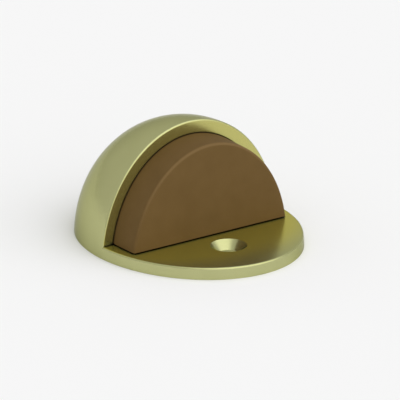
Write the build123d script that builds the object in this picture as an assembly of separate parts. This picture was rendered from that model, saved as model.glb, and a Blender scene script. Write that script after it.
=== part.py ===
from build123d import *
import math
import os

# Floor door stop of the half-dome pattern: a brass casting and a rubber bumper.
# Millimetres, +Z up. The floor is z = 0 and the origin is under the middle of the oval plan.
# The bumper faces -Y, so the door arrives from the front; +X is to the right seen from the front.

# Casting, outside
BASE_WIDTH = 44.0  # oval plan on the floor, across X
BASE_LENGTH = 52.8  # oval plan on the floor, along Y
OVERALL_HEIGHT = 25.4  # floor to the crown of the dome
PLATE_THICKNESS = 2.5  # foot plate in front of the dome
EDGE_ROUND = 0.35  # along the plate's top edge and the dome's cut edge

# Casting, inside
WALL_SIDE = 2.45  # dome wall measured across X, also the flat band beside the pocket
WALL_CROWN = 2.72  # dome wall measured upwards, also the flat band over the pocket
POCKET_DEPTH = 4.0  # pocket that holds the bumper, back from the cut face
WEB_THICKNESS = 2.6  # wall between the pocket and the cored underside
CORE_ROUND = 1.0  # cast corner where the web meets the cored dome

# Screw hole in the plate
HOLE_SETBACK = 13.9  # from the dome's cut face forward to the hole's centre
HOLE_DIAMETER = 4.4
COUNTERSINK_DIAMETER = 7.6
COUNTERSINK_ANGLE = 82.0  # full angle of the cone, in degrees

# Bumper
BUMPER_PROJECTION = 7.4  # stands proud of the dome's cut face
BUMPER_CLEARANCE = 0.18  # between the bumper's arch and the pocket's wall
FOOT_GAP = 0.28  # between the bumper's foot and the plate
BUMPER_ROUND = 0.6  # along the front edge of the arch

# Seen from the side the dome is a circle, through the plan's ends on the floor and the crown.
# Across X it is drawn in to the plan's width, so every section across X is an oval.
DOME_RADIUS = ((BASE_LENGTH / 2) ** 2 + OVERALL_HEIGHT**2) / (2 * OVERALL_HEIGHT)
DOME_CENTRE_Z = OVERALL_HEIGHT - DOME_RADIUS
FLOOR_SHARE = math.sqrt(1 - (DOME_CENTRE_Z / DOME_RADIUS) ** 2)  # width on the floor over full width
DOME_HALF_WIDTH = BASE_WIDTH / 2 / FLOOR_SHARE

# The pocket, the core and the bumper follow the dome's inner skin.
INNER_RADIUS = DOME_RADIUS - WALL_CROWN
INNER_HALF_WIDTH = DOME_HALF_WIDTH - WALL_SIDE

# Construction
REACH = 2 * (BASE_WIDTH + BASE_LENGTH + OVERALL_HEIGHT)  # more than the part needs in any direction
SEAM_TILT = 45.0  # turns the seam of the dome's skin forward in degrees, clear of the cut face
END_FLAT = 0.1  # the skin stops this many degrees short of its axis, so each end is a tiny flat


def above(z):
    """Everything higher than z."""
    return Pos(0, 0, z) * Box(REACH, REACH, REACH, align=(Align.CENTER, Align.CENTER, Align.MIN))


def behind(y):
    """Everything further back than y."""
    return Pos(0, y, 0) * Box(REACH, REACH, REACH, align=(Align.CENTER, Align.MIN, Align.CENTER))


def dome_ball(half_width, radius):
    """Whole oval ball of the dome, round about the X axis through its centre."""
    skin = EllipticalCenterArc((0, 0), half_width, radius, 180 + END_FLAT, arc_size=180 - 2 * END_FLAT)
    left_end, right_end = skin @ 0, skin @ 1
    inside = Polyline(right_end, (right_end.X, 0), (left_end.X, 0), left_end)
    lower_half = make_face([skin, inside])
    ball = revolve(Rot(X=-SEAM_TILT) * Plane.XZ * lower_half, axis=Axis.X)
    return Pos(0, 0, DOME_CENTRE_Z) * ball


def arch_block(half_width, radius, foot_z, front_y, back_y):
    """Straight block along Y with the dome's oval as its section, cut off flat at foot_z."""
    oval = Pos(0, DOME_CENTRE_Z) * Ellipse(half_width, radius, rotation=180)
    block = extrude(Plane.XZ * oval, amount=back_y - front_y)
    return Pos(0, back_y, 0) * block & above(foot_z)


def front_arch(solid):
    """Curved edges of the solid's frontmost face."""
    return solid.faces().sort_by(Axis.Y)[0].edges().filter_by(GeomType.LINE, reverse=True)


def screw_hole():
    """Straight hole through the plate, with a countersink whose mouth is level with the plate's top."""
    upright = (Align.CENTER, Align.CENTER, Align.MIN)
    cone_depth = (COUNTERSINK_DIAMETER - HOLE_DIAMETER) / 2 / math.tan(math.radians(COUNTERSINK_ANGLE / 2))
    shank = Cylinder(HOLE_DIAMETER / 2, PLATE_THICKNESS, align=upright)
    cone = Cone(HOLE_DIAMETER / 2, COUNTERSINK_DIAMETER / 2, cone_depth, align=upright)
    return Pos(0, -HOLE_SETBACK, 0) * (shank + Pos(0, 0, PLATE_THICKNESS - cone_depth) * cone)


def make_dome_body():
    """Plate and half dome in one skin, with the pocket, the screw hole and the cored underside."""
    body = dome_ball(DOME_HALF_WIDTH, DOME_RADIUS) & above(0)
    body -= above(PLATE_THICKNESS) - behind(0)

    # The plate's top edge and the dome's cut edge are the curved edges off the floor.
    curved_edges = body.edges().filter_by(GeomType.LINE, reverse=True)
    body = fillet(curved_edges.filter_by(lambda edge: edge.center().Z > PLATE_THICKNESS / 2), EDGE_ROUND)

    body -= arch_block(INNER_HALF_WIDTH, INNER_RADIUS, PLATE_THICKNESS, -BUMPER_PROJECTION, POCKET_DEPTH)

    core = dome_ball(INNER_HALF_WIDTH, INNER_RADIUS) & behind(POCKET_DEPTH + WEB_THICKNESS)
    body -= fillet(front_arch(core), CORE_ROUND) & above(0)

    return body - screw_hole()


def make_rubber_bumper():
    """D-shaped block seated on the pocket's back wall, with the front edge of its arch rounded."""
    block = arch_block(
        INNER_HALF_WIDTH - BUMPER_CLEARANCE,
        INNER_RADIUS - BUMPER_CLEARANCE,
        PLATE_THICKNESS + FOOT_GAP,
        -BUMPER_PROJECTION,
        POCKET_DEPTH,
    )
    return fillet(front_arch(block), BUMPER_ROUND)


os.makedirs("parts", exist_ok=True)
export_step(make_dome_body(), "parts/dome_body.step")
export_step(make_rubber_bumper(), "parts/rubber_bumper.step")
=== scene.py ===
"""Looks of the half-dome floor door stop: satin brass casting, brown rubber bumper, soft white studio."""

import math

import bpy
from mathutils import Matrix, Vector

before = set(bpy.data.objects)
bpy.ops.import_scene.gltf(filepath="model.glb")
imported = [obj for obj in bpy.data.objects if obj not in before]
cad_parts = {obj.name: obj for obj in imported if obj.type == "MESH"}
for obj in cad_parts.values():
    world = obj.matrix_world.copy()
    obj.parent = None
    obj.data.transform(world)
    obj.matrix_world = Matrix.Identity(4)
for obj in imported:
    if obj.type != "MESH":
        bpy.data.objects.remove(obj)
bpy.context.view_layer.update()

# Lengths are in metres, as in the frame, and colours are linear.

# View, from the photograph: a parallel view, given by its direction and one known pixel
VIEW_AZIMUTH = math.radians(-35.53)
VIEW_ELEVATION = math.radians(20.53)
PICTURE_PIXELS = 400
PIXELS_PER_METRE = 4883.6
ORIGIN_PIXEL = (189.2, 237.2)  # where the frame's origin shows, from the picture's top left corner
CAMERA_DISTANCE = 1.0

# Studio
FLOOR_SIZE = 6.0
FLOOR_DROP = 0.00002  # the floor lies this far under the casting's foot
FLOOR_COLOUR = (0.9, 0.9, 0.9, 1.0)
FLOOR_ROUGHNESS = 0.9
HORIZON_COLOUR = (0.92, 0.92, 0.92, 1.0)  # sky at and under the horizon, as white as the lit floor
HORIZON_BLEND = 0.04  # sine of the elevation at which the walls are clear of the white
WALL_COLOUR = (0.7, 0.7, 0.7, 1.0)  # grey studio walls over the horizon
LIGHT_COLOUR = (1.67, 1.67, 1.67, 1.0)  # middle of the broad soft light that melts into the walls
LIGHT_AZIMUTH = math.radians(14)
LIGHT_ELEVATION = math.radians(43)
LIGHT_REACH = 0.48  # cosine of the angle from its middle at which the light has died away
LIGHT_CORE = 0.92  # cosine of the angle within which it is at its brightest

# Noise in both finishes
NOISE_RANGE = (0.3, 0.7)  # soft noise mostly lies between these
CLOUD_DETAIL = 2.0  # octaves in the clouds of both tones
FINE_DETAIL = 3.0  # octaves in the brass's lines and the rubber's grain

# Brass, satin from fine lines that run around the dome and back along the plate
BRASS_COLOUR = (0.485, 0.49, 0.235, 1.0)
BRASS_DEEP_COLOUR = (0.455, 0.46, 0.215, 1.0)  # faint clouds in the tone
BRASS_EDGE_TINT = (0.56, 0.56, 0.46, 1.0)  # dims reflections at a slant, so outlines stay crisp
BRASS_METALLIC = 0.9
BRASS_ROUGHNESS = (0.19, 0.25)  # in the dips and on the ridges of the lines
BRASS_LINE_PITCH = 0.0003
BRASS_LINE_LENGTH = 0.012
BRASS_LINE_DEPTH = 0.000001
BRASS_CLOUD_SIZE = 0.009

# Painted reflection of the brown bumper on the plate's top and the dome's cut face, where the bumper stands
# near them
PAINTED_BUMPER_REFLECTION_COLOUR = (0.59, 0.53, 0.112, 1.0)
BUMPER_REFLECTION_METALLIC = 0.82
BUMPER_REFLECTION_REACH = 0.02  # only surfaces nearer than this bring on the painted reflection
BUMPER_REFLECTION_SIGHT = (0.94, 0.84)  # share of free sight at which the painted reflection begins and at which it is full
CUT_FACE_REFLECTION = 0.5  # painted reflection on the cut face, of that on the plate
OVER_PLATE = 0.003  # just over the plate's top, to part the plate from the cut face
SQUARE_ON = (0.9, 0.97)  # how squarely a face looks up or forward to be one of these two

# Rubber, moulded and dull
RUBBER_COLOUR = (0.138, 0.0815, 0.026, 1.0)
RUBBER_DEEP_COLOUR = (0.127, 0.0745, 0.023, 1.0)  # faint clouds in the tone
RUBBER_PAINTED_HIGHLIGHT_COLOUR = (0.168, 0.103, 0.038, 1.0)  # painted highlight on the rounded front edge, where it faces the light
RUBBER_HIGHLIGHT_SLANT = (0.12, 0.4)  # forward times upward slant at which the painted highlight begins and is full
RUBBER_ROUGHNESS = (0.68, 0.8)  # in the dips and on the tops of the grain
RUBBER_SPECULAR = 0.12
RUBBER_GRAIN_SIZE = 0.00022
RUBBER_GRAIN_DEPTH = 0.000008
RUBBER_CLOUD_SIZE = 0.004

# Painted shade, near black, in the gaps where the bumper and the casting nearly touch
PAINTED_GAP_SHADE_COLOUR = (0.014, 0.007, 0.002, 1.0)
GAP_SHADE_REACH = 0.0008  # only surfaces nearer than this bring on the painted shade
GAP_SHADE_ON_BRASS = (0.5, 0.8)  # share of free sight at which the painted shade is full and at which it ends
GAP_SHADE_ON_RUBBER = (0.45, 0.8)
GAP_SHADE_LOWEST = 0.001  # no painted shade along the line at the floor


def view_axes(azimuth, elevation):
    """Right, up and backward directions of a level camera; azimuth 0 looks along +Y."""
    right = Vector((math.cos(azimuth), math.sin(azimuth), 0.0))
    back = Vector(
        (
            math.sin(azimuth) * math.cos(elevation),
            -math.cos(azimuth) * math.cos(elevation),
            math.sin(elevation),
        )
    )
    return right, back.cross(right), back


def make_camera():
    """Parallel camera that puts the frame's origin on its pixel of the photograph."""
    right, up, back = view_axes(VIEW_AZIMUTH, VIEW_ELEVATION)
    data = bpy.data.cameras.new("camera")
    data.type = "ORTHO"
    data.ortho_scale = PICTURE_PIXELS / PIXELS_PER_METRE
    camera = bpy.data.objects.new("camera", data)
    bpy.context.scene.collection.objects.link(camera)
    middle = PICTURE_PIXELS / 2
    aim = right * (middle - ORIGIN_PIXEL[0]) / PIXELS_PER_METRE
    aim += up * (ORIGIN_PIXEL[1] - middle) / PIXELS_PER_METRE
    turn = Matrix((right, up, back)).transposed().to_4x4()
    camera.matrix_world = Matrix.Translation(aim + back * CAMERA_DISTANCE) @ turn
    bpy.context.scene.camera = camera


def make_floor():
    """Plain pale floor."""
    half = FLOOR_SIZE / 2
    mesh = bpy.data.meshes.new("floor")
    corners = [(-half, -half, 0), (half, -half, 0), (half, half, 0), (-half, half, 0)]
    mesh.from_pydata(corners, [], [(0, 1, 2, 3)])
    floor = bpy.data.objects.new("floor", mesh)
    floor.location.z = -FLOOR_DROP
    bpy.context.scene.collection.objects.link(floor)
    material = bpy.data.materials.new("pale_floor")
    material.use_nodes = True
    shader = material.node_tree.nodes["Principled BSDF"]
    shader.inputs["Base Color"].default_value = FLOOR_COLOUR
    shader.inputs["Roughness"].default_value = FLOOR_ROUGHNESS
    shader.inputs["Specular IOR Level"].default_value = 0.0
    mesh.materials.append(material)


def split(tree, vector):
    """X, Y and Z of a vector."""
    parts = tree.nodes.new("ShaderNodeSeparateXYZ")
    tree.links.new(vector, parts.inputs["Vector"])
    return parts.outputs


def maths(tree, operation, first, second):
    """Result of one operation; each term is a socket or a number."""
    node = tree.nodes.new("ShaderNodeMath")
    node.operation = operation
    for socket, term in zip(node.inputs, (first, second)):
        if isinstance(term, bpy.types.NodeSocket):
            tree.links.new(term, socket)
        else:
            socket.default_value = term
    return node.outputs["Value"]


def spread(tree, value, low, high, start, stop, course="LINEAR"):
    """Value between start and stop, spread out from low to high and held there beyond."""
    span = tree.nodes.new("ShaderNodeMapRange")
    span.interpolation_type = course
    span.inputs["From Min"].default_value = start
    span.inputs["From Max"].default_value = stop
    span.inputs["To Min"].default_value = low
    span.inputs["To Max"].default_value = high
    tree.links.new(value, span.inputs["Value"])
    return span.outputs["Result"]


def blend(tree, share, first, second):
    """Colour that goes from first to second as share goes from 0 to 1; each is a socket or a colour."""
    tone = tree.nodes.new("ShaderNodeMix")
    tone.data_type = "RGBA"
    tree.links.new(share, tone.inputs["Factor"])
    for name, colour in (("A", first), ("B", second)):
        if isinstance(colour, bpy.types.NodeSocket):
            tree.links.new(colour, tone.inputs[name])
        else:
            tone.inputs[name].default_value = colour
    return tone.outputs["Result"]


def make_sky():
    """White horizon that carries on from the floor, grey walls, and one broad light in front."""
    world = bpy.data.worlds.new("studio")
    world.use_nodes = True
    tree = world.node_tree
    direction = tree.nodes.new("ShaderNodeTexCoord").outputs["Generated"]
    towards = tree.nodes.new("ShaderNodeVectorMath")
    towards.operation = "DOT_PRODUCT"
    towards.inputs[1].default_value = view_axes(LIGHT_AZIMUTH, LIGHT_ELEVATION)[2]
    tree.links.new(direction, towards.inputs[0])
    glow = spread(tree, towards.outputs["Value"], 0.0, 1.0, LIGHT_REACH, LIGHT_CORE, "SMOOTHSTEP")
    rise = spread(tree, split(tree, direction)["Z"], 0.0, 1.0, 0.0, HORIZON_BLEND, "SMOOTHSTEP")
    walls = blend(tree, glow, WALL_COLOUR, LIGHT_COLOUR)
    tree.links.new(blend(tree, rise, HORIZON_COLOUR, walls), tree.nodes["Background"].inputs["Color"])
    bpy.context.scene.world = world


def noise(tree, coordinates, cell, detail):
    """Soft noise over the object's own coordinates; cell is its size along X, Y and Z."""
    scale = tree.nodes.new("ShaderNodeMapping")
    scale.inputs["Scale"].default_value = [1 / length for length in cell]
    texture = tree.nodes.new("ShaderNodeTexNoise")
    texture.inputs["Scale"].default_value = 1.0
    texture.inputs["Detail"].default_value = detail
    tree.links.new(coordinates.outputs["Object"], scale.inputs["Vector"])
    tree.links.new(scale.outputs["Vector"], texture.inputs["Vector"])
    return texture.outputs["Fac"]


def cloudy_tone(tree, coordinates, size, colour, deep_colour):
    """Colour with faint clouds of a deeper one."""
    clouds = noise(tree, coordinates, [size] * 3, CLOUD_DETAIL)
    return blend(tree, spread(tree, clouds, 0.0, 1.0, *NOISE_RANGE), colour, deep_colour)


def free_sight(tree, reach):
    """Share of the open half space that no surface closes within reach."""
    sight = tree.nodes.new("ShaderNodeAmbientOcclusion")
    sight.inputs["Distance"].default_value = reach
    return sight.outputs["AO"]


def facing(tree, coordinates):
    """How far the surface looks forward and how far it looks up, each from -1 to 1."""
    normal = split(tree, coordinates.outputs["Normal"])
    return maths(tree, "MULTIPLY", normal["Y"], -1.0), normal["Z"]


def with_painted_gap_shade(tree, coordinates, tone, openness):
    """The tone, with painted shade where the other piece stands close in front of this one."""
    height = split(tree, coordinates.outputs["Object"])["Z"]
    clear = spread(tree, free_sight(tree, GAP_SHADE_REACH), 0.0, 1.0, *openness)
    at_floor = maths(tree, "LESS_THAN", height, GAP_SHADE_LOWEST)
    return blend(tree, maths(tree, "MAXIMUM", clear, at_floor), PAINTED_GAP_SHADE_COLOUR, tone)


def painted_reflection_share(tree, coordinates):
    """Painted reflection of the bumper on the plate's top and, thinner, on the dome's cut face, the nearer
    the bumper stands.
    """
    forward, upward = facing(tree, coordinates)
    height = split(tree, coordinates.outputs["Object"])["Z"]
    level = spread(tree, upward, 0.0, 1.0, *SQUARE_ON)
    upright = spread(tree, forward, 0.0, CUT_FACE_REFLECTION, *SQUARE_ON)
    plate_top = maths(tree, "MULTIPLY", level, maths(tree, "LESS_THAN", height, OVER_PLATE))
    cut_face = maths(tree, "MULTIPLY", upright, maths(tree, "GREATER_THAN", height, OVER_PLATE))
    near_bumper = spread(tree, free_sight(tree, BUMPER_REFLECTION_REACH), 0.0, 1.0, *BUMPER_REFLECTION_SIGHT)
    return maths(tree, "MULTIPLY", maths(tree, "ADD", plate_top, cut_face), near_bumper)


def painted_highlight_share(tree, coordinates):
    """Painted highlight on the rounded edge, most where it looks both forward and up."""
    slant = maths(tree, "MULTIPLY", *facing(tree, coordinates))
    return spread(tree, slant, 0.0, 1.0, *RUBBER_HIGHLIGHT_SLANT)


def new_material(name):
    """Material with its shader, and the object's own coordinates for its noise."""
    material = bpy.data.materials.new(name)
    material.use_nodes = True
    tree = material.node_tree
    return material, tree, tree.nodes["Principled BSDF"], tree.nodes.new("ShaderNodeTexCoord")


def add_relief(tree, shader, height, depth):
    """Raises the surface by depth where height is 1."""
    relief = tree.nodes.new("ShaderNodeBump")
    relief.inputs["Strength"].default_value = 1.0
    relief.inputs["Distance"].default_value = depth
    tree.links.new(height, relief.inputs["Height"])
    tree.links.new(relief.outputs["Normal"], shader.inputs["Normal"])


def brass_material():
    """Satin brass with a cloudy tone, fine lines and a painted reflection of the bumper near it."""
    material, tree, shader, coordinates = new_material("satin_brass")
    lines = noise(tree, coordinates, [BRASS_LINE_PITCH, BRASS_LINE_LENGTH, BRASS_LINE_LENGTH], FINE_DETAIL)
    painted_reflection = painted_reflection_share(tree, coordinates)
    tone = cloudy_tone(tree, coordinates, BRASS_CLOUD_SIZE, BRASS_COLOUR, BRASS_DEEP_COLOUR)
    # painted reflection of the bumper: a more amber, less metallic tone near it
    tone = blend(tree, painted_reflection, tone, PAINTED_BUMPER_REFLECTION_COLOUR)
    # painted shade in the gaps next to the bumper
    tree.links.new(with_painted_gap_shade(tree, coordinates, tone, GAP_SHADE_ON_BRASS), shader.inputs["Base Color"])
    tree.links.new(spread(tree, lines, *BRASS_ROUGHNESS, *NOISE_RANGE), shader.inputs["Roughness"])
    metallic = spread(tree, painted_reflection, BRASS_METALLIC, BUMPER_REFLECTION_METALLIC, 0.0, 1.0)
    tree.links.new(metallic, shader.inputs["Metallic"])
    shader.inputs["Specular Tint"].default_value = BRASS_EDGE_TINT
    add_relief(tree, shader, lines, BRASS_LINE_DEPTH)
    return material


def rubber_material():
    """Brown moulded rubber with a cloudy tone, a fine grain and a painted highlight on its rounded edge."""
    material, tree, shader, coordinates = new_material("brown_rubber")
    grain = noise(tree, coordinates, [RUBBER_GRAIN_SIZE] * 3, FINE_DETAIL)
    tone = cloudy_tone(tree, coordinates, RUBBER_CLOUD_SIZE, RUBBER_COLOUR, RUBBER_DEEP_COLOUR)
    # painted highlight on the rounded edge that faces up and forward
    tone = blend(tree, painted_highlight_share(tree, coordinates), tone, RUBBER_PAINTED_HIGHLIGHT_COLOUR)
    # painted shade in the gaps next to the casting
    tree.links.new(with_painted_gap_shade(tree, coordinates, tone, GAP_SHADE_ON_RUBBER), shader.inputs["Base Color"])
    tree.links.new(spread(tree, grain, *RUBBER_ROUGHNESS, *NOISE_RANGE), shader.inputs["Roughness"])
    shader.inputs["Specular IOR Level"].default_value = RUBBER_SPECULAR
    add_relief(tree, shader, grain, RUBBER_GRAIN_DEPTH)
    return material


def dress(node, material):
    """Gives a node of the frame its finish."""
    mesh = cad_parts[node].data
    mesh.materials.clear()
    mesh.materials.append(material)


bpy.context.scene.view_settings.view_transform = "Standard"
make_camera()
make_floor()
make_sky()
dress("dome_body", brass_material())
dress("rubber_bumper", rubber_material())
